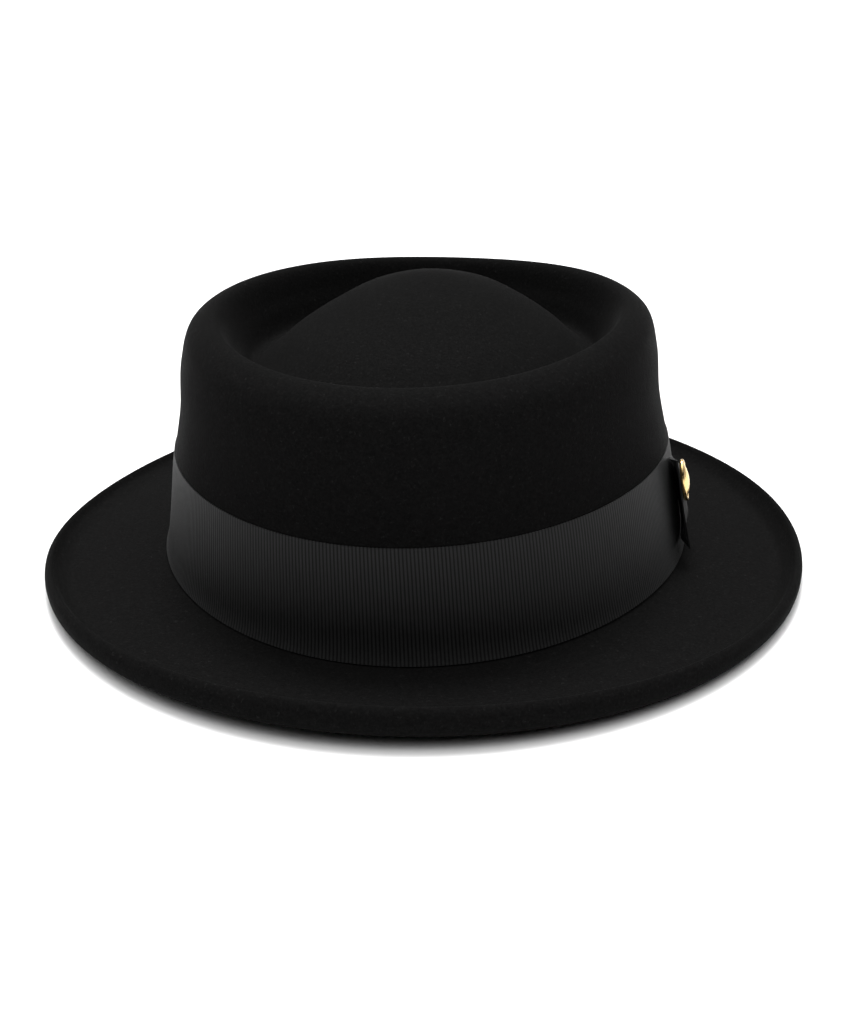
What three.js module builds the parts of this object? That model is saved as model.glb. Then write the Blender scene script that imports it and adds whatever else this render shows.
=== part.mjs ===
// A black wool felt hat with a telescope crown: a rolled rim, a ring groove inside it and a low dome.
// It has a short brim with a curled edge, a ribbed ribbon, a flat bow on one side and a small gilt pin.
// Millimetres, +Z up. The front of the hat faces -Y and the bow is on the +X side.
import * as THREE from "three";

const { clamp, degToRad, lerp, smoothstep } = THREE.MathUtils;

// Driving sizes
const POINTS_AROUND = 60;        // points in each ring of the felt and the ribbon
const FELT = 2.2;                // thickness of the felt
const CLOTH = 1.0;               // thickness of the ribbon, also of each layer of the bow
const GAP = 0.3;                 // clearance between pieces that lie against each other
const LEAN = 1.3;                // how far the crown's top leans toward -X
const LEAN_FROM = 12;            // height where the lean starts
const LEAN_FULL = 45;            // height where the lean is complete
const RIBBON_WIDTH = 35;         // width of the ribbon, measured up the wall of the crown

const KNOT_ANGLE = 100;          // degrees round from the front to the middle of the bow
const ARC_PER_DEGREE = 1.69;     // millimetres along the wall for each degree, near the bow
const BOW_HALF = 36.5;           // from the knot's middle to each end of the bow
const KNOT_HALF = 7;             // half the width of the strip that wraps the bow
const KNOT_CORNER = 1.0;         // radius of the bends at the top and bottom of the knot
const TUCKED_END = 15;           // where the bow's inner layer starts, behind the knot's middle
// Parts of the ribbon's width left free below and above the bow, at its knot and at its two ends
const KNOT_EDGES = [0.36, 0.37];
const FRONT_EDGES = [0.17, 0.03];
const BACK_EDGES = [0.17, 0.10];
const GATHER = 0.6;              // how soon the gathered bow widens beside the knot, where 1 is steadily
const FLARE = 1.65;              // how far the front end stands out
const FLARE_FROM = 26.5;         // where the front end starts to stand out, from the knot's middle
const BACK_LIFT = 0.6;           // how far the fold at the back stands out
const BACK_BULGE = 0.6;          // bulge of the bow's back half
const PLEATS = 3;                // small folds that the knot gathers the bow into
const PLEAT_HEIGHT = 0.5;
const PLEAT_RISE = 4;            // length over which a pleat reaches its full height
const PLEAT_END = 20;            // length over which it runs out again

const PIN_HALF_WIDE = 4.5;
const PIN_HALF_TALL = 7;
const PIN_DOME = 1.8;            // from the back of the plate to the top of its dome
const PIN_RUN = -27;             // where the pin sits along the bow, from the knot's middle
const PIN_RISE = 0.7;            // where the pin sits across the bow, as a part of the ribbon's width

// The felt's upper surface is a set of ovals, from the peak of the dome out to the underside of the lip.
// Reaches go from the crown's axis to the front and to the back, and heights are above the table.
const COLUMNS = ["name", "halfWidth", "frontReach", "backReach", "sideHeight", "frontHeight", "backHeight", "steps"];
const SECTIONS = [
  ["peak",          0.0, -14.0,  14.0,  90.5,  90.5,  90.5, 2],
  ["dome_top",     20.0,  11.0,  38.0,  86.8,  86.8,  86.5, 1],
  ["dome_upper",   33.0,  32.0,  54.0,  80.5,  81.0,  80.0, 1],
  ["dome_side",    44.0,  48.5,  65.0,  73.6,  75.5,  73.0, 1],
  ["dome_foot",    52.0,  61.5,  73.0,  67.0,  69.0,  66.5, 2],
  ["groove",       56.8,  69.5,  78.5,  64.6,  66.0,  63.5, 2],
  ["rim_inside",   60.8,  78.0,  82.6,  73.5,  71.5,  70.0, 2],
  ["rim_crest",    66.0,  87.0,  87.6,  84.5,  81.0,  80.2, 2],
  ["rim_outside",  73.2,  95.0,  95.2,  81.2,  77.5,  76.8, 2],
  ["wall_top",     76.3,  98.0,  98.0,  71.5,  67.5,  67.0, 1],
  ["wall_mid",     77.7,  97.2,  97.4,  56.5,  52.5,  52.5, 1],
  ["ribbon_top",   80.8,  95.6,  95.8,  41.0,  37.8,  37.5, 3],
  ["wall_foot",    86.8,  96.9,  96.9,   7.1,   2.4,   2.4, 2],
  ["break",        88.4,  98.5,  98.5,   5.6,   1.9,   1.9, 1],
  ["brim_inner",   92.3, 102.7, 102.0,   5.0,   2.2,   2.2, 1],
  ["brim_mid",    105.8, 116.5, 115.0,   3.6,   3.9,   3.6, 1],
  ["valley",      117.6, 129.0, 126.4,   2.0,   6.2,   5.6, 1],
  ["curl_inside", 120.9, 132.8, 129.4,   3.9,   8.6,   7.0, 1],
  ["lip_crest",   123.2, 135.6, 131.6,   6.5,  12.0,   9.0, 2],
  ["lip_out",     124.9, 137.3, 133.2,   5.0,  10.2,   7.8, 1],
  ["lip_face",    124.7, 137.4, 133.0,   2.4,   5.6,   5.4, 1],
  ["lip_under",   122.6, 135.8, 131.0,  -0.3,   3.6,   3.2, 1],
];

// The curled lip stands higher behind the bow and lower on the other side, by these heights. The twist
// starts and ends at two angles, which are given as a cosine and a span of cosines.
const TWIST = { curl_inside: 1.1, lip_crest: 1.6, lip_out: 1.6, lip_face: 0.8 };
const TWIST_FROM = 0.3;
const TWIST_SPAN = 1.1;
const rows = SECTIONS.map((values) => Object.fromEntries(COLUMNS.map((column, i) => [column, values[i]])));
const rowNumber = (name) => rows.findIndex((row) => row.name === name);
const RIBBON_TOP = rowNumber("ribbon_top");
const WALL_FOOT = rowNumber("wall_foot");
const VALLEY = rowNumber("valley");

// The felt's surface as a function of two numbers: a place, which is a row's number and may lie between
// two rows, and an angle in degrees, which is 0 at the front and 90 on the +X side.
function ovalPoint(row, angle) {
  const middle = (row.backReach - row.frontReach) / 2;
  const reach = (row.backReach + row.frontReach) / 2;
  const toFront = Math.cos(degToRad(angle));
  const toSide = Math.sin(degToRad(angle));
  const tilt = (row.frontHeight - row.backHeight) / 2;
  const saddle = (row.frontHeight + row.backHeight) / 2 - row.sideHeight;
  const lean = LEAN * clamp((row.sideHeight - LEAN_FROM) / (LEAN_FULL - LEAN_FROM), 0, 1);
  const past = clamp((TWIST_FROM - toFront) / TWIST_SPAN, 0, 1);
  const twist = (TWIST[row.name] ?? 0) * toSide * Math.sin(Math.PI * past);
  return new THREE.Vector3(
    row.halfWidth * toSide - lean,
    middle - reach * toFront,
    row.sideHeight + tilt * toFront + saddle * toFront ** 2 + twist,
  );
}

// Each curve starts one row past the peak, on the far side, so that it crosses the peak smoothly.
const curves = new Map();
function feltPoint(place, angle) {
  if (!curves.has(angle)) {
    const points = [ovalPoint(rows[1], angle + 180), ...rows.map((row) => ovalPoint(row, angle))];
    curves.set(angle, new THREE.CatmullRomCurve3(points, false, "centripetal"));
  }
  return curves.get(angle).getPoint((place + 1) / rows.length);
}

function feltNormal(place, angle) {
  if (place === 0) return new THREE.Vector3(0, 0, 1);
  const placeStep = 0.1;
  const angleStep = 2;
  const outermost = rows.length - 1;
  const down = feltPoint(Math.min(place + placeStep, outermost), angle);
  down.sub(feltPoint(Math.max(place - placeStep, 0), angle));
  const around = feltPoint(place, angle + angleStep).sub(feltPoint(place, angle - angleStep));
  return down.cross(around).normalize();
}

function offFelt(place, angle, distance) {
  return feltPoint(place, angle).addScaledVector(feltNormal(place, angle), distance);
}

// A closed body from rings of points. Neighbouring rings are joined by a band of triangles, and a ring
// of one point closes an end. With closed set, the last ring joins the first one again.
function bodyFromRings(rings, closed = false) {
  const positions = [];
  const starts = rings.map((ring) => {
    const start = positions.length / 3;
    ring.forEach((point) => positions.push(point.x, point.y, point.z));
    return start;
  });
  const triangles = [];
  const bands = closed ? rings.length : rings.length - 1;
  for (let band = 0; band < bands; band += 1) {
    const next = (band + 1) % rings.length;
    const count = Math.max(rings[band].length, rings[next].length);
    const corner = (ring, i) => starts[ring] + (i % rings[ring].length);
    for (let i = 0; i < count; i += 1) {
      const [a, b] = [corner(band, i), corner(band, i + 1)];
      const [c, d] = [corner(next, i), corner(next, i + 1)];
      if (a !== b) triangles.push([a, c, b]);
      if (c !== d) triangles.push([b, c, d]);
    }
  }
  const vertex = (i) => new THREE.Vector3().fromArray(positions, 3 * i);
  const volume = triangles.reduce((sum, [a, b, c]) => sum + vertex(a).dot(vertex(b).cross(vertex(c))), 0);
  const outward = volume < 0 ? triangles.map(([a, b, c]) => [a, c, b]) : triangles;
  const geometry = new THREE.BufferGeometry();
  geometry.setAttribute("position", new THREE.Float32BufferAttribute(positions, 3));
  geometry.setIndex(outward.flat());
  geometry.computeVertexNormals();
  return geometry;
}

// Places where the felt and the ribbon have rings, from the steps column of the table.
const places = rows.flatMap((row, i) =>
  i === rows.length - 1 ? [i] : Array.from({ length: row.steps }, (_, step) => i + step / row.steps));
const angles = Array.from({ length: POINTS_AROUND }, (_, i) => 360 * i / POINTS_AROUND);
const feltRing = (place, distance) => angles.map((angle) => offFelt(place, angle, distance));

// The felt is one piece. Its upper side runs out to the lip, and its underside follows it back in at the
// felt's thickness, pressed flat where it rests on the table.
function feltBody() {
  const upper = places.slice(1).map((place) => feltRing(place, 0));
  const under = places.slice(1).filter((place) => place <= VALLEY).map((place) => feltRing(place, -FELT));
  const peak = [feltPoint(0, 0)];
  const innerPeak = [offFelt(0, 0, -FELT)];
  const rings = [peak, ...upper, ...under.reverse(), innerPeak];
  rings.flat().forEach((point) => {
    point.z = Math.max(point.z, 0);
  });
  return bodyFromRings(rings);
}

// The ribbon goes round the foot of the crown's wall, a small gap off the felt.
function ribbonBand() {
  const ribbonPlaces = places.filter((place) => place >= RIBBON_TOP && place <= WALL_FOOT);
  const outer = ribbonPlaces.map((place) => feltRing(place, GAP + CLOTH));
  const inner = ribbonPlaces.map((place) => feltRing(place, GAP));
  return bodyFromRings([...outer, ...inner.reverse()], true);
}

// The bow lies on the ribbon. Its points have a run along the wall from the knot's middle, a rise from the
// ribbon's lower edge as a part of its width, and a distance out from the felt.
const bowPoint = (run, rise, out) => offFelt(WALL_FOOT - rise, KNOT_ANGLE + run / ARC_PER_DEGREE, out);
const INNER_LAYER = 2 * GAP + 1.5 * CLOTH;
const OUTER_LAYER = INNER_LAYER + GAP + CLOTH;
const spread = (from, to, count) => Array.from({ length: count }, (_, i) => from + (to - from) * i / (count - 1));

// The parts of the ribbon's width left free below and above the bow. The knot gathers it to a narrow waist.
function bowEdges(run) {
  const share = clamp((Math.abs(run) - KNOT_HALF - GAP) / (BOW_HALF - KNOT_HALF - GAP), 0, 1) ** GATHER;
  const end = run < 0 ? FRONT_EDGES : BACK_EDGES;
  return KNOT_EDGES.map((edge, i) => lerp(edge, end[i], share));
}

// How far the middle of the bow's outer layer stands off the felt. It is a single layer in front, and
// behind the knot it climbs over the inner layer.
function outerLayer(run) {
  if (run < 0) return INNER_LAYER + FLARE * clamp((-run - FLARE_FROM) / (BOW_HALF - FLARE_FROM), 0, 1) ** 2;
  const part = clamp((run - TUCKED_END) / (BOW_HALF - TUCKED_END), 0, 1);
  const climb = (OUTER_LAYER - INNER_LAYER) * smoothstep(run, KNOT_HALF + GAP, TUCKED_END);
  return INNER_LAYER + climb + BACK_LIFT * part + BACK_BULGE * Math.sin(Math.PI * part);
}

// How far the pleats beside the knot lift the outer layer, at a level from 0 at its lower edge to 1.
function pleat(run, level) {
  const away = Math.abs(run) - KNOT_HALF - GAP;
  const fade = smoothstep(away, 0, PLEAT_RISE) * (1 - smoothstep(away, PLEAT_RISE, PLEAT_END));
  return PLEAT_HEIGHT * fade * (1 - Math.cos(2 * Math.PI * PLEATS * level)) / 2;
}

// The line that the bow's cloth follows at one level: from behind the knot along the ribbon to the back,
// round the fold, and forward over the top to the free front end.
function bowLine(level) {
  const foldRadius = (OUTER_LAYER + BACK_LIFT - INNER_LAYER) / 2;
  const foldRun = BOW_HALF - foldRadius - CLOTH / 2;
  const inner = spread(TUCKED_END, foldRun - 2, 7).map((run) => new THREE.Vector2(run, INNER_LAYER));
  const fold = spread(-90, 90, 6).map((turn) => {
    const bend = degToRad(turn);
    const out = INNER_LAYER + foldRadius * (1 + Math.sin(bend));
    return new THREE.Vector2(foldRun + foldRadius * Math.cos(bend), out);
  });
  const besideKnot = KNOT_HALF + GAP;
  const outerRuns = [
    ...spread(foldRun - 2, TUCKED_END, 6),
    ...spread(TUCKED_END, besideKnot, 4).slice(1),
    ...spread(besideKnot, -besideKnot, 3).slice(1),
    ...spread(-besideKnot, -FLARE_FROM, 7).slice(1),
    ...spread(-FLARE_FROM, -BOW_HALF, 5).slice(1),
  ];
  const outer = outerRuns.map((run) => new THREE.Vector2(run, outerLayer(run) + pleat(run, level)));
  return [...inner, ...fold, ...outer];
}

// The two faces of a strip of cloth whose middle follows a line in a plane.
function clothFaces(line) {
  return line.map((point, i) => {
    const before = line[Math.max(i - 1, 0)];
    const after = line[Math.min(i + 1, line.length - 1)];
    const side = new THREE.Vector2(before.y - after.y, after.x - before.x).setLength(CLOTH / 2);
    return [point.clone().add(side), point.clone().sub(side)];
  });
}

// A ring of one point in the middle of a ring, which closes the end of a strip.
function endOf(ring) {
  const middle = new THREE.Vector3();
  ring.forEach((point) => middle.addScaledVector(point, 1 / ring.length));
  return [middle];
}

function bowLoops() {
  const levels = spread(0, 1, 4 * PLEATS + 1);
  const lines = levels.map((level) => bowLine(level));
  const faces = lines.map((line) => clothFaces(line));
  const rings = lines[0].map((middle, i) => {
    const [low, high] = bowEdges(middle.x);
    const face = (which) => levels.map((level, k) => {
      const point = faces[k][i][which];
      return bowPoint(point.x, low + (1 - low - high) * level, point.y);
    });
    return [...face(0), ...face(1).reverse()];
  });
  return bodyFromRings([endOf(rings[0]), ...rings, endOf(rings.at(-1))]);
}

// The knot is a short strip that wraps the bow's gathered waist and is tucked in above and below it.
function bowKnot() {
  const edge = KNOT_EDGES[0] * RIBBON_WIDTH - GAP - CLOTH / 2;
  const top = (1 - KNOT_EDGES[1]) * RIBBON_WIDTH + GAP + CLOTH / 2;
  const foot = CLOTH + 2 * GAP;
  const plate = OUTER_LAYER;
  const corner = (middle, from) => spread(from, from + 90, 4).map((turn) => {
    const bend = degToRad(turn);
    const out = plate - KNOT_CORNER + KNOT_CORNER * Math.sin(bend);
    return new THREE.Vector2(middle + KNOT_CORNER * Math.cos(bend), out);
  });
  const flatFrom = 2 * KNOT_CORNER;
  const line = [
    new THREE.Vector2(top, foot),
    ...corner(top - KNOT_CORNER, 0),
    ...spread(top - flatFrom, edge + flatFrom, 3).map((height) => new THREE.Vector2(height, plate)),
    ...corner(edge + KNOT_CORNER, 90),
    new THREE.Vector2(edge, foot),
  ];
  const runs = spread(-KNOT_HALF, KNOT_HALF, 5);
  const rings = clothFaces(line).map((faces) => {
    const face = (which) => runs.map((run) => bowPoint(run, faces[which].x / RIBBON_WIDTH, faces[which].y));
    return [...face(0), ...face(1).reverse()];
  });
  return bodyFromRings([endOf(rings[0]), ...rings, endOf(rings.at(-1))]);
}

// The pin is a plain oval plate with a rounded rim, a groove and a low dome, flat at the back.
function pinPlate() {
  const profile = [
    [0, 0], [0.9, 0], [1, 0.2], [1, 0.4], [0.94, 0.56], [0.86, 0.56], [0.8, 0.44], [0.62, 0.68], [0.36, 0.9], [0, 1],
  ].map(([radius, height]) => new THREE.Vector2(radius, height * PIN_DOME));
  return new THREE.LatheGeometry(profile, 32).scale(PIN_HALF_WIDE, 1, PIN_HALF_TALL);
}

// The pin lies on the bow's front half, across the line between the cloth at its front and rear edges.
function placePin(pin) {
  const seatAt = (run, rise) => bowPoint(run, rise, outerLayer(run) + CLOTH / 2);
  const front = seatAt(PIN_RUN - PIN_HALF_WIDE, PIN_RISE);
  const rear = seatAt(PIN_RUN + PIN_HALF_WIDE, PIN_RISE);
  const side = front.clone().sub(rear).normalize();
  const upward = seatAt(PIN_RUN, PIN_RISE + 0.1).sub(seatAt(PIN_RUN, PIN_RISE - 0.1));
  const away = upward.cross(side).normalize();
  const tall = side.clone().cross(away);
  pin.quaternion.setFromRotationMatrix(new THREE.Matrix4().makeBasis(side, away, tall));
  pin.position.lerpVectors(front, rear, 0.5).addScaledVector(away, GAP);
}

const blackFelt = new THREE.MeshStandardMaterial({ color: "#1c1c1d", roughness: 0.95, metalness: 0 });
const blackRibbon = new THREE.MeshStandardMaterial({ color: "#222224", roughness: 0.7, metalness: 0 });
const gilt = new THREE.MeshStandardMaterial({ color: "#d2ab55", roughness: 0.3, metalness: 1 });

function named(name, geometry, material) {
  const mesh = new THREE.Mesh(geometry, material);
  mesh.name = name;
  return mesh;
}

const pin = named("pin_plate", pinPlate(), gilt);
placePin(pin);

const hat = new THREE.Group();
hat.add(
  named("felt_body", feltBody(), blackFelt),
  named("ribbon_band", ribbonBand(), blackRibbon),
  named("bow_loops", bowLoops(), blackRibbon),
  named("bow_knot", bowKnot(), blackRibbon),
  pin,
);

// The origin is on the table, under the middle of the hat's length and width.
const middle = new THREE.Box3().setFromObject(hat).getCenter(new THREE.Vector3());
hat.position.set(-middle.x, -middle.y, 0);

export default hat;
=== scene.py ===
# %% [markdown]
# This lesson dresses a black felt hat. Its crown is a telescope crown: a rolled rim, a groove inside it
# and a low dome in the middle. The brim is short, with a curled edge. A ribbed ribbon runs round the
# crown, tied off in a flat bow on one side, and a small gilt pin sits on the bow.
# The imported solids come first. They fix the size and place of everything, and each fine piece below is
# worked out from the same few named sizes, so it lands on its solid with no fitting.

# %% Load the frame
import math

import bpy
import numpy as np
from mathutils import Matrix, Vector


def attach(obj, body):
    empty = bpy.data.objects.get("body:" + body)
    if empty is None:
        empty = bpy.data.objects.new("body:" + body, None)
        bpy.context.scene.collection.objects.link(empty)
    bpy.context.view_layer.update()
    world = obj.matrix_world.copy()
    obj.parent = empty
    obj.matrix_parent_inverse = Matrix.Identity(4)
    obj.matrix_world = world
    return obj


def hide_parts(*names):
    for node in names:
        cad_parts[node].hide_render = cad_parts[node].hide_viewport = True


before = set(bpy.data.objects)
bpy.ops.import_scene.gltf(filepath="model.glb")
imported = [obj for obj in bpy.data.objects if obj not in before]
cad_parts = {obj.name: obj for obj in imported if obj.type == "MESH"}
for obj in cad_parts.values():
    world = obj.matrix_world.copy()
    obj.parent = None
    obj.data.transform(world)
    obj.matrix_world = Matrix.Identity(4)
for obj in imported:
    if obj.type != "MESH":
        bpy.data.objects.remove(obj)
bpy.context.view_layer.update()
MM = 0.001
print("solids:", ", ".join(sorted(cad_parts)))

# %% [markdown]
# The felt of a hat is steamed and pulled over a wooden block, so crown and brim are one continuous
# surface. A lathe can't make it, because a head is an oval and the brim dips and rises. A sculpt would
# be hard to keep at its size. So the surface is a short table of ovals, from the peak of the dome out to
# the underside of the lip, and a smooth curve runs through the ovals at every angle.
# Each oval has its own half width, its reach to the front and back, and its height at side, front and back.

# %% The ovals of the hat
OVAL_TABLE = """
peak          0.0  -14.0   14.0   90.5   90.5   90.5
dome_top     20.0   11.0   38.0   86.8   86.8   86.5
dome_upper   33.0   32.0   54.0   80.5   81.0   80.0
dome_side    44.0   48.5   65.0   73.6   75.5   73.0
dome_foot    52.0   61.5   73.0   67.0   69.0   66.5
groove       56.8   69.5   78.5   64.6   66.0   63.5
rim_inside   60.8   78.0   82.6   73.5   71.5   70.0
rim_crest    66.0   87.0   87.6   84.5   81.0   80.2
rim_outside  73.2   95.0   95.2   81.2   77.5   76.8
wall_top     76.3   98.0   98.0   71.5   67.5   67.0
wall_mid     77.7   97.2   97.4   56.5   52.5   52.5
ribbon_top   80.8   95.6   95.8   41.0   37.8   37.5
wall_foot    86.8   96.9   96.9    7.1    2.4    2.4
break        88.4   98.5   98.5    5.6    1.9    1.9
brim_inner   92.3  102.7  102.0    5.0    2.2    2.2
brim_mid    105.8  116.5  115.0    3.6    3.9    3.6
valley      117.6  129.0  126.4    2.0    6.2    5.6
curl_inside 120.9  132.8  129.4    3.9    8.6    7.0
lip_crest   123.2  135.6  131.6    6.5   12.0    9.0
lip_out     124.9  137.3  133.2    5.0   10.2    7.8
lip_face    124.7  137.4  133.0    2.4    5.6    5.4
lip_under   122.6  135.8  131.0   -0.3    3.6    3.2
"""
OVAL_NAMES = [line.split()[0] for line in OVAL_TABLE.split("\n") if line]
OVALS = np.array([line.split()[1:] for line in OVAL_TABLE.split("\n") if line], float)
LAST = len(OVALS) - 1
RIBBON_TOP, WALL_FOOT, VALLEY = (OVAL_NAMES.index(name) for name in ("ribbon_top", "wall_foot", "valley"))
FELT = 2.2
LEAN, LEAN_FROM, LEAN_FULL = 1.3, 12.0, 45.0
LIP_TWIST = {"curl_inside": 1.1, "lip_crest": 1.6, "lip_out": 1.6, "lip_face": 0.8}
TWISTS = np.array([LIP_TWIST.get(name, 0.0) for name in OVAL_NAMES])
TWIST_FROM, TWIST_SPAN = 0.3, 1.1
print(len(OVALS), "ovals, felt", FELT, "mm thick")

# %% The felt's surface as a formula


def oval_point(row, angle):
    """A point of one oval: half width times the angle's sine across, reach times its cosine along, and a
    height that tilts with the cosine and saddles with its square. The crown leans a little with height,
    and the lip twists: it stands higher behind the bow and lower on the other side."""
    half, front, back, side_z, front_z, back_z = np.moveaxis(OVALS[row], -1, 0)
    to_front, to_side = np.cos(angle), np.sin(angle)
    height = side_z + (front_z - back_z) / 2 * to_front + ((front_z + back_z) / 2 - side_z) * to_front**2
    behind = np.clip((TWIST_FROM - to_front) / TWIST_SPAN, 0, 1)
    height = height + TWISTS[row] * to_side * np.sin(math.pi * behind)
    lean = LEAN * np.clip((side_z - LEAN_FROM) / (LEAN_FULL - LEAN_FROM), 0, 1)
    return np.stack([half * to_side - lean, (back - front) / 2 - (back + front) / 2 * to_front, height], -1)


def neighbour(row, angle):
    """The same, with a row past either end of the table. Before the peak it is the first oval on the far
    side, so the surface crosses the peak smoothly. After the lip it is mirrored through the last point."""
    near = np.clip(row, 0, LAST)
    point = oval_point(near, angle)
    point = np.where((row < 0)[..., None], oval_point(np.ones_like(row), angle + math.pi), point)
    return np.where((row > LAST)[..., None], 2 * point - oval_point(2 * near - row, angle), point)


def felt_point(place, angle):
    """A centripetal Catmull-Rom curve through the ovals. place counts rows and angle is 0 at the front and
    a quarter turn at the bow. A segment's tangents weigh its chords by the roots of their lengths."""
    place, angle = np.broadcast_arrays(np.asarray(place, float), np.asarray(angle, float))
    row = np.clip(np.floor(place), 0, LAST - 1).astype(int)
    t = (place - row)[..., None]
    before, start, end, after = (neighbour(row + step, angle) for step in (-1, 0, 1, 2))
    knots = [np.sqrt(np.linalg.norm(b - a, axis=-1, keepdims=True)) + 1e-9
             for a, b in ((before, start), (start, end), (end, after))]
    chords = (start - before) / knots[0], (end - start) / knots[1], (after - end) / knots[2]
    leave = knots[1] * (chords[0] - (end - before) / (knots[0] + knots[1]) + chords[1])
    arrive = knots[1] * (chords[1] - (after - start) / (knots[1] + knots[2]) + chords[2])
    smooth = 3 * t**2 - 2 * t**3
    return (1 - smooth) * start + smooth * end + (t**3 - 2 * t**2 + t) * leave + (t**3 - t**2) * arrive


STEP_DOWN, STEP_ROUND, OFF_PEAK = 0.03, 0.02, 0.02


def felt_normal(place, angle):
    """The surface's outward normal: its slope from oval to oval crossed with its slope round the hat. Each
    slope is taken over a small step to either side, and the one round the hat a little off the peak."""
    place, angle = np.broadcast_arrays(np.asarray(place, float), np.asarray(angle, float))
    above, below = np.maximum(place - STEP_DOWN, 0), np.minimum(place + STEP_DOWN, LAST)
    down = felt_point(below, angle) - felt_point(above, angle)
    beside = np.maximum(place, OFF_PEAK)
    around = felt_point(beside, angle + STEP_ROUND) - felt_point(beside, angle - STEP_ROUND)
    normal = np.cross(down, around)
    return normal / np.linalg.norm(normal, axis=-1, keepdims=True)


def off_felt(place, angle, distance):
    """A point that stands a distance off the felt, along its normal."""
    return felt_point(place, angle) + felt_normal(place, angle) * np.asarray(distance)[..., None]


FULL_TURN = 2 * math.pi
lip = felt_point(np.linspace(VALLEY, LAST, 60)[:, None], np.linspace(0, FULL_TURN, 361))
LOW_CORNER, HIGH_CORNER = lip.min(axis=(0, 1)), lip.max(axis=(0, 1))
CENTRE = (HIGH_CORNER + LOW_CORNER) / 2 * [1, 1, 0]
print("brim in mm:", np.round(np.ptp(lip, axis=(0, 1)), 1), "centre", np.round(CENTRE, 2))

# %% [markdown]
# The camera stands where the photograph was taken from, about half a metre in front of the hat, a little
# to the bow's side and well above the brim. Its axis meets the crown above the middle of the picture, so
# the frame is shifted down, and the camera isn't tilted any further.

# %% The camera
CAMERA_AZIMUTH, CAMERA_ELEVATION = math.radians(9.9), math.radians(18.0)
CAMERA_DISTANCE = 479.0
AIM = np.array([-0.35, 0.0, 47.5])
FOCAL_PIXELS, AXIS_PIXEL_X, AXIS_PIXEL_Y = 1429.2, 426.4, 407.8
IMAGE_WIDE, IMAGE_TALL = 853, 1024

camera = bpy.data.objects.new("camera", bpy.data.cameras.new("camera"))
bpy.context.collection.objects.link(camera)
bpy.context.scene.camera = camera
camera.data.sensor_width = 36.0
camera.data.lens = FOCAL_PIXELS / IMAGE_TALL * camera.data.sensor_width
camera.data.shift_x = (IMAGE_WIDE / 2 - AXIS_PIXEL_X) / IMAGE_TALL
camera.data.shift_y = (AXIS_PIXEL_Y - IMAGE_TALL / 2) / IMAGE_TALL
backward = Vector((math.sin(CAMERA_AZIMUTH) * math.cos(CAMERA_ELEVATION),
                   -math.cos(CAMERA_AZIMUTH) * math.cos(CAMERA_ELEVATION),
                   math.sin(CAMERA_ELEVATION)))
camera.location = Vector((AIM - CENTRE) * MM) + backward * CAMERA_DISTANCE * MM
camera.rotation_mode = "QUATERNION"
camera.rotation_quaternion = (-backward).to_track_quat("-Z", "Y")
camera.data.clip_start, camera.data.clip_end = 0.01, 100
print("camera in mm:", [round(x / MM) for x in camera.location], "lens", round(camera.data.lens, 1))

# %% [markdown]
# Every fine piece is a stack of rings of points, so one helper turns such a stack into a mesh. A stack can
# close on itself, as the ribbon's does, or end in two poles. The helper also writes a UV map in
# millimetres, because a weave has to follow the cloth and not the room.

# %% From rings to a mesh


def mesh_piece(name, rings, material, poles=None, uv=None, smooth_angle=None):
    """rings is a grid of points in mm: ring, point round the ring, xyz. With poles, two points close its
    ends, otherwise the last ring joins the first. uv has one more row and column than it needs."""
    count, around = rings.shape[:2]
    bands = count - 1 if poles is not None else count
    ring, step = np.meshgrid(np.arange(bands), np.arange(around), indexing="ij")
    corners = [(ring, step), (ring + 1, step), (ring + 1, step + 1), (ring, step + 1)]
    faces = np.stack([(r % count) * around + s % around for r, s in corners], -1).reshape(-1, 4).tolist()
    points = rings.reshape(-1, 3)
    if poles is not None:
        points = np.vstack([points, poles])
        first, last = len(points) - 2, len(points) - 1
        s = np.arange(around)
        low, high = (count - 1) * around + s, (count - 1) * around + (s + 1) % around
        faces += np.stack([np.full(around, first), s, (s + 1) % around], -1).tolist()
        faces += np.stack([np.full(around, last), high, low], -1).tolist()
    mesh = bpy.data.meshes.new(name)
    mesh.from_pydata(((points - CENTRE) * MM).tolist(), [], faces)
    volume = sum_of_tetrahedra(points, faces)
    if uv is not None:
        layer = mesh.uv_layers.new(name="cloth")
        values = np.zeros((len(mesh.loops), 2), np.float32)
        values[: bands * around * 4] = np.stack([uv[r, s] for r, s in corners], -2).reshape(-1, 2)
        layer.data.foreach_set("uv", values.ravel())
    if volume < 0:
        mesh.flip_normals()
    mesh.shade_smooth()
    if smooth_angle is not None:
        mesh.set_sharp_from_angle(angle=math.radians(smooth_angle))
    mesh.materials.append(material)
    piece = bpy.data.objects.new(name, mesh)
    bpy.context.collection.objects.link(piece)
    print(f"{name}: {sum(len(face) - 2 for face in faces)} triangles, {abs(volume) / 1000:.1f} ml")
    return piece


def sum_of_tetrahedra(points, faces):
    """The signed volume inside a closed mesh: a sixth of a dot b cross c, over its triangles."""
    triangles = [(face[0], face[k], face[k + 1]) for face in faces for k in range(1, len(face) - 1)]
    a, b, c = (points[corner] for corner in np.array(triangles).T)
    return np.einsum("ij,ij->i", a, np.cross(b, c)).sum() / 6


print("mesh helper ready")

# %% [markdown]
# A finish is a small network of nodes. Written out node by node it hides its own idea, so a wrapper lets
# the sums be written as Python: grain * 0.4 + 0.2 adds its own Math nodes. Everything else comes from
# one method, which takes the node's type, its settings and what goes into its sockets.

# %% A small language for finishes


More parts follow.
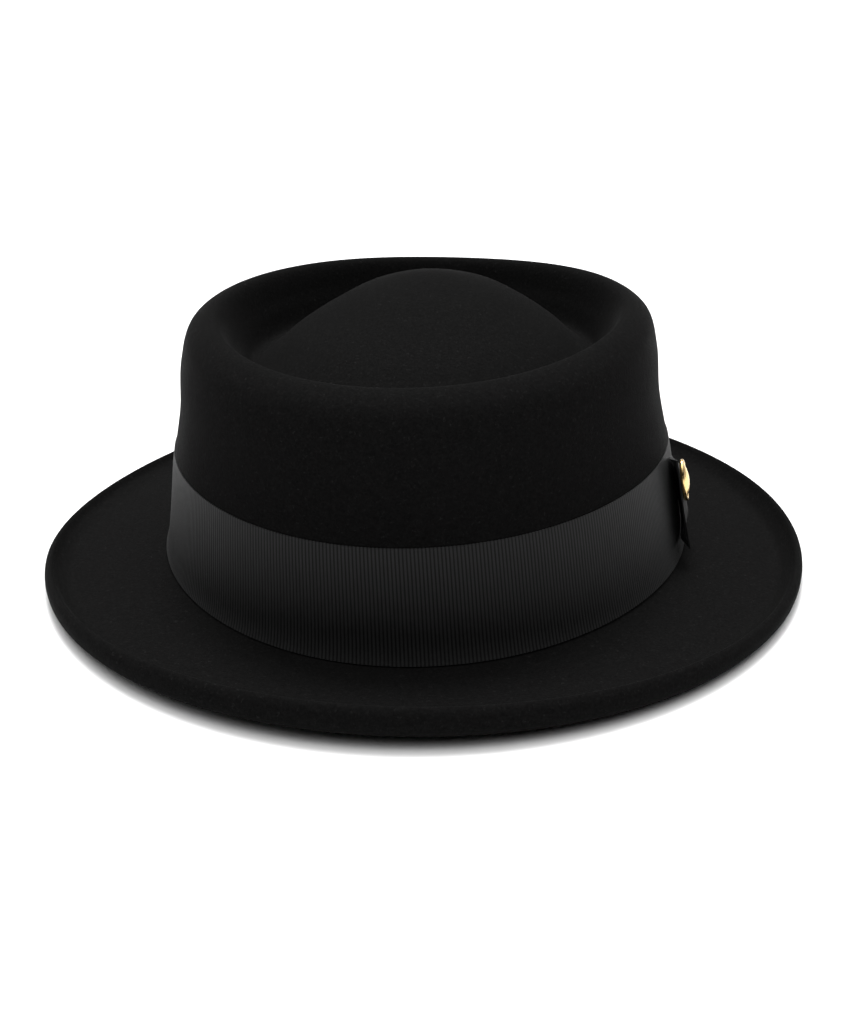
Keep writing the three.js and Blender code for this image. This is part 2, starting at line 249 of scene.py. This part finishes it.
class Value:
    """A number that changes over a surface. Python's operators add Math nodes."""

    def __init__(self, network, socket):
        self.network, self.socket = network, socket

    def math(self, operation, *values):
        return self.network.node("ShaderNodeMath", {"operation": operation}, dict(enumerate(values)))

    def __add__(self, other):
        return self.math("ADD", self, other)

    __radd__ = __add__

    def __sub__(self, other):
        return self.math("SUBTRACT", self, other)

    def __rsub__(self, other):
        return self.math("SUBTRACT", other, self)

    def __mul__(self, other):
        return self.math("MULTIPLY", self, other)

    __rmul__ = __mul__

    def wave(self):
        return self.math("SINE", self)

    def ramp(self, low, high):
        """From 0 at low to 1 at high, with a soft start and end."""
        return self.network.node("ShaderNodeMapRange", {"interpolation_type": "SMOOTHSTEP"},
                                 {"Value": self, "From Min": low, "From Max": high})


class Network:
    """The nodes of one material or of the world, and the output that they end in."""

    def __init__(self, owner, end):
        owner.use_nodes = True
        self.owner, self.tree = owner, owner.node_tree
        self.tree.nodes.clear()
        self.end = self.tree.nodes.new(end)

    def node(self, kind, settings=None, sockets=None, output=0):
        node = self.tree.nodes.new(kind)
        for key, value in (settings or {}).items():
            setattr(node, key, value)
        for key, value in (sockets or {}).items():
            if isinstance(value, Value):
                self.tree.links.new(value.socket, node.inputs[key])
            else:
                node.inputs[key].default_value = value
        return Value(self, node.outputs[output])

    def close(self, shader):
        self.tree.links.new(shader.socket, self.end.inputs["Surface"])
        return self.owner


class Finish(Network):
    """One material, with a single surface shader."""

    def __init__(self, name):
        super().__init__(bpy.data.materials.new(name), "ShaderNodeOutputMaterial")

    def noise(self, where, size, detail=2.0, roughness=0.5, distortion=0.0):
        """Soft random grain from 0 to 1 whose grains are about size mm across."""
        return self.node("ShaderNodeTexNoise", {}, {
            "Vector": where, "Scale": 1 / (size * MM), "Detail": detail,
            "Roughness": roughness, "Distortion": distortion})

    def mix(self, factor, first, second):
        """A colour between two colours."""
        return self.node("ShaderNodeMix", {"data_type": "RGBA"}, {0: factor, 6: first, 7: second}, output=2)

    def bump(self, height, depth, strength=1.0):
        """Relief from a height of 0 to 1 that stands for depth mm."""
        sockets = {"Height": height, "Distance": depth * MM, "Strength": strength}
        return self.node("ShaderNodeBump", {}, sockets)

    def surface(self, **sockets):
        names = {key.replace("_", " "): value for key, value in sockets.items()}
        return self.close(self.node("ShaderNodeBsdfPrincipled", {}, names))


def grey(level, warm=0.0):
    """A grey colour, a little warmer or cooler."""
    return (level * (1 + warm), level, level * (1 - warm), 1.0)


print("finish helper ready")

# %% [markdown]
# Wool felt has no threads. Its fibres lie in every direction, matted together, and a few lighter ones
# stick out of the nap. A black felt never looks flat black: the nap catches light at a glancing angle, so
# the sides of the crown look greyer than its front. Grain in two sizes makes the mat, a third grain with
# a high threshold makes the light flecks, and sheen makes the glancing light.

# %% The felt's finish


def felt_finish():
    felt = Finish("black_wool_felt")
    where = felt.node("ShaderNodeTexCoord", output=3)
    nap = felt.noise(where, 0.8, detail=4, roughness=0.65, distortion=0.6)
    mat = felt.noise(where, 2.4, detail=3, roughness=0.6)
    fleck = felt.noise(where, 0.8, detail=1, distortion=1.2).ramp(0.66, 0.80)
    tone = (nap * 0.8 + mat * 0.2).ramp(0.30, 0.70)
    colour = felt.mix(tone, grey(0.0032), grey(0.0064, 0.01))
    colour = felt.mix(fleck * 0.5, colour, grey(0.02))
    relief = felt.bump(nap * 0.7 + mat * 0.3, 0.3, 0.7)
    return felt.surface(Base_Color=colour, Roughness=0.82 + mat * 0.15, Normal=relief,
                        Sheen_Weight=0.045, Sheen_Roughness=0.16, Sheen_Tint=grey(0.9),
                        Specular_IOR_Level=0.02)


FELT_FINISH = felt_finish()
print("felt finish:", len(FELT_FINISH.node_tree.nodes), "nodes")

# %% [markdown]
# The blocked felt. Its upper side runs from the peak out to the lip, and its underside follows back in at
# the felt's thickness, which the solid does too. What the solid leaves out is the hand of the hatter:
# slow waves of a third of a millimetre over crown and rim. They fade out at the peak and stop above the
# ribbon, which still lies true. Where the brim touches the table the felt is pressed flat.

# %% The felt
WAVE_HEIGHT = 0.35
WAVES_FULL, WAVES_GONE = 2, RIBBON_TOP - 0.5
AROUND, RINGS_ABOVE, RINGS_BELOW = 288, 8, 5


def hatter_waves(place, angle):
    """Three slow sines of the angle, turned a little from oval to oval, faded out at the peak and above
    the ribbon."""
    free = np.clip(place / WAVES_FULL, 0, 1) ** 2 * np.clip(WAVES_GONE - place, 0, 1)
    waves = 0.5 * np.sin(2 * angle + 0.7 + 0.35 * place) + 0.3 * np.sin(3 * angle - 1.1 - 0.5 * place)
    return WAVE_HEIGHT * free * (waves + 0.25 * np.sin(5 * angle + 2.0 + 0.8 * place))


def felt_rings(places, depth):
    """Rings of the felt at some places, sunk by a depth below its upper side."""
    angle = np.linspace(0, FULL_TURN, AROUND, endpoint=False)
    place = places[:, None]
    return off_felt(place, angle, hatter_waves(place, angle) - depth)


def make_felt():
    """Rings out over the upper side to the lip, then back in below it, with a pole at each end."""
    upper = felt_rings(np.linspace(0, LAST, LAST * RINGS_ABOVE + 1)[1:], 0.0)
    under = felt_rings(np.linspace(VALLEY, 0, VALLEY * RINGS_BELOW + 1)[:-1], FELT)
    rings = np.concatenate([upper, under])
    peak = np.array([off_felt(0.0, 0.0, 0.0), off_felt(0.0, 0.0, -FELT)])
    rings[..., 2] = np.maximum(rings[..., 2], 0)
    return mesh_piece("hat_felt", rings, FELT_FINISH, poles=peak)


hat_felt = make_felt()
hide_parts("felt_body")
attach(hat_felt, "root")

# %% [markdown]
# Grosgrain is a ribbon with thick cords in its weft, so it has ribs across its width, about a millimetre
# apart, and each rib ends in a tiny scallop at the edge. At this distance each rib is only three pixels
# wide, but the ribs are what makes a grosgrain look like one, so they are modelled, and only the fine
# threads between them are left to the finish.

# %% The ribbon's finish
RIB_PITCH = 1.1


def grosgrain_finish():
    cloth = Finish("black_grosgrain")
    where = cloth.node("ShaderNodeUVMap", {"uv_map": "cloth"})
    along = cloth.node("ShaderNodeSeparateXYZ", {}, {0: where}, output=0)
    across = cloth.node("ShaderNodeSeparateXYZ", {}, {0: where}, output=1)
    # painted shade: this mask is 0 in the grooves between the ribs, where the colour is pulled to near black
    ribs = (along * (FULL_TURN / RIB_PITCH) - math.pi / 2).wave().ramp(-1.0, 0.4)
    threads = (across * (FULL_TURN / 0.32)).wave() * 0.5 + 0.5
    room = cloth.node("ShaderNodeTexCoord", output=3)
    slub = cloth.noise(room, 3.0, detail=3)
    fine = cloth.noise(room, 0.35, detail=2)
    colour = cloth.mix(slub * 0.5 + fine * 0.5, grey(0.013), grey(0.025, -0.02))
    # painted shade: the grooves between the ribs get a near-black colour that stands in for the shade
    # falling in them
    colour = cloth.mix(ribs, grey(0.003), colour)
    relief = cloth.bump(threads * 0.6 + fine * 0.4, 0.05, 0.5)
    return cloth.surface(Base_Color=colour, Roughness=0.58 + slub * 0.12, Normal=relief,
                         Sheen_Weight=0.03, Sheen_Roughness=0.35, Sheen_Tint=grey(0.95),
                         Specular_IOR_Level=0.16)


GROSGRAIN_FINISH = grosgrain_finish()
print("grosgrain finish:", len(GROSGRAIN_FINISH.node_tree.nodes), "nodes")

# %% The ribbon
RIBBON_WIDTH = 35.0
RIBBON_BACK, RIBBON_FACE = 0.08, 0.42
LOWER_REACH = 0.4
RIB_HEIGHT = 0.1
SCALLOP = 0.16
RIB_POINTS = 6


def rib(length):
    """Height of the ribs, from 0 in the groove between two to 1 on a rib's back: the size of a sine. The
    finish paints shade into the same grooves."""
    return np.abs(np.sin(math.pi * length / RIB_PITCH))


def make_ribbon():
    """Rings round the crown: up the outer face, over the top edge and down the inner face."""
    turn = np.linspace(0, FULL_TURN, 721)
    foot = felt_point(WALL_FOOT - 0.5, turn)
    length = np.concatenate([[0], np.cumsum(np.linalg.norm(np.diff(foot, axis=0), axis=-1))])
    ribs = round(length[-1] / RIB_PITCH)
    along = np.linspace(0, length[-1], ribs * RIB_POINTS + 1)
    angle = np.interp(along, length, turn)
    woven = along * ribs * RIB_PITCH / length[-1]
    ridge = rib(woven)
    level = np.linspace(0, 1, 9)[:, None]
    scallop = (2 * level - 1) * ridge * SCALLOP
    rise = level - (1 - level) * LOWER_REACH / RIBBON_WIDTH + scallop / RIBBON_WIDTH
    ease = 0.05 * np.sin(3 * angle + 0.4) + 0.04 * np.sin(7 * angle + 1.9)
    roll = 1 - (2 * level - 1) ** 8
    outer_out = RIBBON_FACE + (ridge * RIB_HEIGHT + ease) * roll
    outer = off_felt(WALL_FOOT - rise, angle, outer_out)
    inner = off_felt(WALL_FOOT - rise[::-1], angle, np.full_like(outer_out, RIBBON_BACK))
    rings = np.concatenate([outer, inner])[:, :-1]
    width = np.concatenate([level, level[::-1], level[:1]]) * RIBBON_WIDTH
    uv = np.stack(np.broadcast_arrays(woven, width), -1)
    print(ribs, "ribs round", round(length[-1]), "mm")
    return mesh_piece("grosgrain_band", rings, GROSGRAIN_FINISH, uv=uv, smooth_angle=60), length[-1]


grosgrain_band, BAND_LENGTH = make_ribbon()
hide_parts("ribbon_band")
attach(grosgrain_band, "root")

# %% [markdown]
# The bow is one strip of ribbon, folded once. It starts behind the knot, runs back along the crown, turns
# in a soft fold, and comes forward over itself and under the knot to a free end in front. The knot gathers
# it to a narrow waist, so it widens to both ends and small pleats run out from the waist. The front half
# puffs up off the ribbon, its two edges are cupped back in, and its end curls away. The hollow behind that
# end is the black line that shows from the front.
# A point on the bow has a run along the wall, a rise across the ribbon and a distance out from the felt.
# The solid's cloth is 1 mm thick with clear gaps, so that it can be handled. Here it has a ribbon's own
# thickness and lies closer, apart from the puffed front half, which stands about 1 mm further out.

# %% The strip of the bow
KNOT_ANGLE, ARC_PER_DEGREE = 100.0, 1.69
BOW_HALF, KNOT_HALF, TUCKED_END = 36.5, 7.0, 15.0
BESIDE_KNOT = KNOT_HALF + 0.3
KNOT_EDGES, FRONT_EDGES, BACK_EDGES, GATHER = (0.36, 0.37), (0.17, 0.03), (0.17, 0.10), 0.6
FLARE, FLARE_FROM, BACK_LIFT, BACK_BULGE = 1.5, 26.5, 0.6, 0.6
FRONT_PUFF, FRONT_PUFF_FULL = 2.6, 20.0
PLEATS, PLEAT_HEIGHT, PLEAT_RISE, PLEAT_END = 3, 0.5, 4.0, 20.0
BOW_CLOTH = 0.4
SLIT = 0.12
INNER_LAYER = RIBBON_FACE + RIB_HEIGHT + SLIT + (BOW_CLOTH + RIB_HEIGHT) / 2
OUTER_LAYER = INNER_LAYER + BOW_CLOTH + RIB_HEIGHT + SLIT
BOW_WIDTH = (1 - sum(FRONT_EDGES)) * RIBBON_WIDTH


def bow_point(run, rise, out):
    """A point that lies out from the felt, a run back from the knot and a rise up the ribbon."""
    return off_felt(WALL_FOOT - rise, np.radians(KNOT_ANGLE + run / ARC_PER_DEGREE), out)


def soft_step(value, low, high):
    """From 0 at low to 1 at high along 3t^2 - 2t^3."""
    t = np.clip((value - low) / (high - low), 0, 1)
    return 3 * t**2 - 2 * t**3


def bow_edges(run):
    """The parts of the ribbon's width left free below and above the bow: widest at the waist, and less
    with a power of the distance from it."""
    share = np.clip((np.abs(run) - BESIDE_KNOT) / (BOW_HALF - BESIDE_KNOT), 0, 1) ** GATHER
    ends = [np.where(run < 0, front, back) for front, back in zip(FRONT_EDGES, BACK_EDGES)]
    return [waist + (end - waist) * share for waist, end in zip(KNOT_EDGES, ends)]


def outer_layer(run):
    """How far the middle of the bow's upper layer stands off the felt. In front it is a single layer that
    puffs up beside the knot and curls out at its end with the square of the run. Behind the knot it
    climbs over the inner layer."""
    puff = FRONT_PUFF * soft_step(-run, BESIDE_KNOT, FRONT_PUFF_FULL)
    curl = FLARE * np.clip((-run - FLARE_FROM) / (BOW_HALF - FLARE_FROM), 0, 1) ** 2
    part = np.clip((run - TUCKED_END) / (BOW_HALF - TUCKED_END), 0, 1)
    climb = (OUTER_LAYER - INNER_LAYER) * soft_step(run, BESIDE_KNOT, TUCKED_END)
    return INNER_LAYER + puff + curl + climb + BACK_LIFT * part + BACK_BULGE * np.sin(math.pi * part)


def cupped_edge(run, level):
    """How far the front half's two edges curl back in: all of the puff at the edges, with the fourth power
    of the distance from the middle, and none beside the knot or at the front end."""
    free = soft_step(-run, BESIDE_KNOT, FRONT_PUFF_FULL) * (1 - soft_step(-run, FLARE_FROM, BOW_HALF))
    return FRONT_PUFF * free * (2 * level - 1) ** 4


def pleat(run, level):
    """The pleats beside the knot: a few cosine waves across the bow, gone under the knot and at its ends."""
    away = np.abs(run) - BESIDE_KNOT
    fade = soft_step(away, 0, PLEAT_RISE) * (1 - soft_step(away, PLEAT_RISE, PLEAT_END))
    return PLEAT_HEIGHT * fade * (1 - np.cos(FULL_TURN * PLEATS * level)) / 2


def strip_sides(run, out, thick):
    """The two faces of a strip: half its thickness along the normal of its middle line, either way."""
    slope_run, slope_out = np.gradient(run, axis=1), np.gradient(out, axis=1)
    size = np.hypot(slope_run, slope_out)
    side_run, side_out = -slope_out / size * thick / 2, slope_run / size * thick / 2
    return (run + side_run, out + side_out), (run - side_run, out - side_out)


def strip_piece(name, sides, length, across):
    """A mesh from the two faces of a strip, with its length and width as the cloth's UV map."""
    rings = np.concatenate([sides[0], sides[1][::-1]]).swapaxes(0, 1)
    ends = np.array([rings[0].mean(0), rings[-1].mean(0)])
    width = np.concatenate([across, across[::-1], across[:1]])
    uv = np.stack(np.broadcast_arrays(length[:, None], width), -1)
    return mesh_piece(name, rings, GROSGRAIN_FINISH, poles=ends, uv=uv, smooth_angle=50)


def make_bow():
    """The middle line in runs and distances: inner layer, fold, and the upper layer to the front end."""
    fold_radius = (OUTER_LAYER + BACK_LIFT - INNER_LAYER) / 2
    fold_run = BOW_HALF - fold_radius - BOW_CLOTH / 2
    level = np.linspace(0, 1, 8 * PLEATS + 1)[:, None]
    step = RIB_PITCH / RIB_POINTS
    inner_run = np.arange(TUCKED_END, fold_run, step)
    turn = np.linspace(-math.pi / 2, math.pi / 2, 19)[1:-1]
    outer_run = np.arange(fold_run, -BOW_HALF, -step)
    run = np.concatenate([inner_run, fold_run + fold_radius * np.cos(turn), outer_run]) + 0 * level
    under = np.full_like(inner_run, INNER_LAYER) + 0 * level
    fold = INNER_LAYER + fold_radius * (1 + np.sin(turn)) + 0 * level
    outer = outer_layer(outer_run) + pleat(outer_run, level) - cupped_edge(outer_run, level)
    out = np.concatenate([under, fold, outer], axis=1)
    length = np.cumsum(np.hypot(np.gradient(run[0]), np.gradient(out[0])))
    ridge = rib(length)
    low, high = bow_edges(run)
    rise = low + (1 - low - high) * level + (2 * level - 1) * ridge * SCALLOP / 2 / RIBBON_WIDTH
    faces = strip_sides(run, out, BOW_CLOTH + ridge * RIB_HEIGHT)
    sides = [bow_point(face_run, rise, face_out) for face_run, face_out in faces]
    return strip_piece("side_bow", sides, length, level[:, 0] * BOW_WIDTH), length[-1]


side_bow, BOW_LENGTH = make_bow()
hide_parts("bow_loops")
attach(side_bow, "root")
print("the bow's strip is", round(BOW_LENGTH), "mm long")

# %% [markdown]
# The knot isn't tied. It is a short piece of ribbon that wraps the gathered waist of the bow and is tucked
# in above and below it. Its ribs run the other way from the bow's, which is what makes it read as a
# separate wrap. It puffs out a little at its middle, over the gathers.

# %% The knot
KNOT_CLOTH, KNOT_CORNER, KNOT_PUFF = 0.5, 0.7, 0.5
KNOT_THINNER, KNOT_NARROWER = 0.55, 0.07


def make_knot():
    """A line that rises off the ribbon, turns over the top of the waist, and runs down it and back in. The
    cloth is thinner at its two edges, and the strip is drawn narrower at its middle."""
    edge = KNOT_EDGES[0] * RIBBON_WIDTH - SLIT - KNOT_CLOTH / 2
    top = (1 - KNOT_EDGES[1]) * RIBBON_WIDTH + SLIT + KNOT_CLOTH / 2
    foot = RIBBON_FACE + RIB_HEIGHT + SLIT
    plate = OUTER_LAYER + (KNOT_CLOTH - BOW_CLOTH) / 2
    bend = np.linspace(0, math.pi / 2, 7)
    flat = np.arange(top - KNOT_CORNER, edge + KNOT_CORNER, -RIB_PITCH / RIB_POINTS)[1:]
    height = np.concatenate([
        np.full(3, top), top - KNOT_CORNER + KNOT_CORNER * np.cos(bend), flat,
        edge + KNOT_CORNER - KNOT_CORNER * np.sin(bend), np.full(3, edge)])
    climb = np.linspace(foot, plate - KNOT_CORNER, 4)[:-1]
    out = np.concatenate([
        climb, plate - KNOT_CORNER + KNOT_CORNER * np.sin(bend), np.full(len(flat), plate),
        plate - KNOT_CORNER + KNOT_CORNER * np.cos(bend), climb[::-1]])
    middle = np.sin(math.pi * (height - edge) / (top - edge))
    out += KNOT_PUFF * middle
    length = np.cumsum(np.hypot(np.gradient(height), np.gradient(out)))
    across = np.linspace(-1, 1, 15)[:, None]
    soft = 1 - KNOT_THINNER * np.abs(across) ** 6
    thick = (KNOT_CLOTH + rib(length) * RIB_HEIGHT) * soft
    faces = strip_sides(height + 0 * across, out + 0 * across, thick)
    waist = 1 - KNOT_NARROWER * middle
    run = across * waist * KNOT_HALF
    sides = [bow_point(run, face_height / RIBBON_WIDTH, face_out) for face_height, face_out in faces]
    return strip_piece("bow_wrap", sides, length, across[:, 0] * KNOT_HALF), length[-1]


bow_wrap, KNOT_LENGTH = make_knot()
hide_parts("bow_knot")
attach(bow_wrap, "root")

# %% [markdown]
# The ribbon, the bow and its wrap are cloth, so the length that each was cut to is printed. The felt isn't
# cloth: it is blocked to its shape and keeps it, as a helmet does.

# %% The cloth pieces
print("cut lengths in mm:", round(BAND_LENGTH), round(BOW_LENGTH), round(KNOT_LENGTH))

# %% [markdown]
# The pin is stamped from thin brass and gilded. It is left plain: an oval with a rounded rim, a groove
# inside the rim and a low dome. A profile turned round an axis and stretched into an oval gives all of
# it. Bright metal shows only what it reflects, so its finish is little more than colour and a faint haze.

# %% The gilt pin
PIN_HALF_WIDE, PIN_HALF_TALL, PIN_DOME = 4.5, 7.0, 2.4
PIN_RUN, PIN_RISE = -27.0, 0.7
# radius and height, as parts of the whole: down the dome, over the groove and rim, round the edge and back
PIN_PROFILE = np.array([
    (0.02, 1.0), (0.12, 0.99), (0.25, 0.955), (0.38, 0.89), (0.5, 0.805), (0.62, 0.69), (0.7, 0.6),
    (0.76, 0.5), (0.8, 0.45), (0.83, 0.46), (0.86, 0.52), (0.9, 0.57), (0.94, 0.56), (0.97, 0.5),
    (0.99, 0.42), (1.0, 0.3), (0.99, 0.15), (0.96, 0.05), (0.9, 0.0), (0.5, 0.0), (0.02, 0.0)])


def gilt_finish():
    gilt = Finish("gilt_brass")
    where = gilt.node("ShaderNodeTexCoord", output=3)
    haze = gilt.noise(where, 1.2, detail=3, roughness=0.6)
    colour = gilt.mix(haze, (0.80, 0.52, 0.20, 1.0), (0.94, 0.70, 0.34, 1.0))
    return gilt.surface(Base_Color=colour, Metallic=1.0, Roughness=0.16 + haze * 0.14,
                        Normal=gilt.bump(haze, 0.02, 0.3))


def make_pin():
    """Rings of ovals out along the pin's face, round its edge and back behind it. The pin lies across the
    line between the cloth at its front and rear edges."""

    def seat(run, rise):
        return bow_point(run, rise, outer_layer(np.array(run)) + BOW_CLOTH / 2)

    front, rear = seat(PIN_RUN - PIN_HALF_WIDE, PIN_RISE), seat(PIN_RUN + PIN_HALF_WIDE, PIN_RISE)
    side = (front - rear) / np.linalg.norm(front - rear)
    away = np.cross(seat(PIN_RUN, PIN_RISE + 0.1) - seat(PIN_RUN, PIN_RISE - 0.1), side)
    away /= np.linalg.norm(away)
    tall = np.cross(side, away)
    turn = np.linspace(0, FULL_TURN, 96, endpoint=False)
    radius, height = PIN_PROFILE.T[..., None, None]
    oval = side * np.cos(turn)[:, None] * PIN_HALF_WIDE + tall * np.sin(turn)[:, None] * PIN_HALF_TALL
    base = (front + rear) / 2 + away * SLIT
    rings = base + radius * oval + height * PIN_DOME * away
    poles = np.array([base + PIN_DOME * away, base])
    return mesh_piece("gilt_pin", rings, gilt_finish(), poles=poles)


gilt_pin = make_pin()
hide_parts("pin_plate")
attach(gilt_pin, "root")

# %% [markdown]
# The photograph has a plain white table that runs out into plain white. A black hat is lit by what it
# faces, so the room matters more than any lamp. The camera sees a plain white room, but the hat is lit by
# one that is dark low down in front, brighter behind and at the left, and bright from every side higher
# up. So its front stays dark, and its top and edges catch the light. One very soft sun, high up and a
# little behind, whitens the table.

# %% The table and the light
ROOM_BACK, ROOM_LEFT, ROOM_HIGH, ROOM_TOP = 0.65, 0.4, 1.4, 2.6


def white_floor():
    plain = Finish("plain_white_table")
    where = plain.node("ShaderNodeTexCoord", output=3)
    tone = plain.noise(where, 400.0)
    return plain.surface(Base_Color=plain.mix(tone, grey(0.86), grey(0.90)), Roughness=0.7,
                         Specular_IOR_Level=0.2)


def make_floor(half=12.0):
    """A square table top that reaches half metres to each side."""
    corners = [(-half, -half, 0), (half, -half, 0), (half, half, 0), (-half, half, 0)]
    mesh = bpy.data.meshes.new("table_top")
    mesh.from_pydata(corners, [], [(0, 1, 2, 3)])
    mesh.materials.append(white_floor())
    floor = bpy.data.objects.new("table_top", mesh)
    bpy.context.collection.objects.link(floor)


def white_room():
    """A world that is white to the camera. As light it is dark low down in front, grows toward the back
    and the left, comes from every side above about 30 degrees, and is brightest overhead."""
    room = Network(bpy.data.worlds.new("white_room"), "ShaderNodeOutputWorld")
    direction = room.node("ShaderNodeTexCoord")
    to_side = room.node("ShaderNodeSeparateXYZ", {}, {0: direction}, output=0)
    to_back = room.node("ShaderNodeSeparateXYZ", {}, {0: direction}, output=1)
    upward = room.node("ShaderNodeSeparateXYZ", {}, {0: direction}, output=2)
    to_left = (to_side * -1).ramp(0.2, 0.9) * to_back.ramp(-0.9, -0.1)
    level = to_back.ramp(-0.25, 0.9) * ROOM_BACK + to_left * ROOM_LEFT
    level = level + upward.ramp(0.75, 1.0) * ROOM_TOP + upward.ramp(0.5, 0.8) * ROOM_HIGH
    light = room.node("ShaderNodeBackground", {}, {"Strength": level})
    plain = room.node("ShaderNodeBackground", {}, {"Color": grey(1.0)})
    seen = room.node("ShaderNodeLightPath")
    return room.close(room.node("ShaderNodeMixShader", {}, {0: seen, 1: light, 2: plain}))


def soft_sun(strength, azimuth, elevation, wide):
    """A sun whose disc is wide. Its azimuth turns from behind the hat toward the bow's side."""
    sun = bpy.data.objects.new("soft_sun", bpy.data.lights.new("soft_sun", "SUN"))
    sun.data.energy, sun.data.angle = strength, math.radians(wide)
    turn, rise = math.radians(azimuth), math.radians(elevation)
    toward = Vector((math.sin(turn) * math.cos(rise), math.cos(turn) * math.cos(rise), math.sin(rise)))
    sun.rotation_mode = "QUATERNION"
    sun.rotation_quaternion = (-toward).to_track_quat("-Z", "Y")
    bpy.context.collection.objects.link(sun)


make_floor()
bpy.context.scene.world = white_room()
soft_sun(strength=2.4, azimuth=-15, elevation=74, wide=20)
bpy.context.scene.view_settings.view_transform = "Standard"
print("lit by a white room and a soft sun")
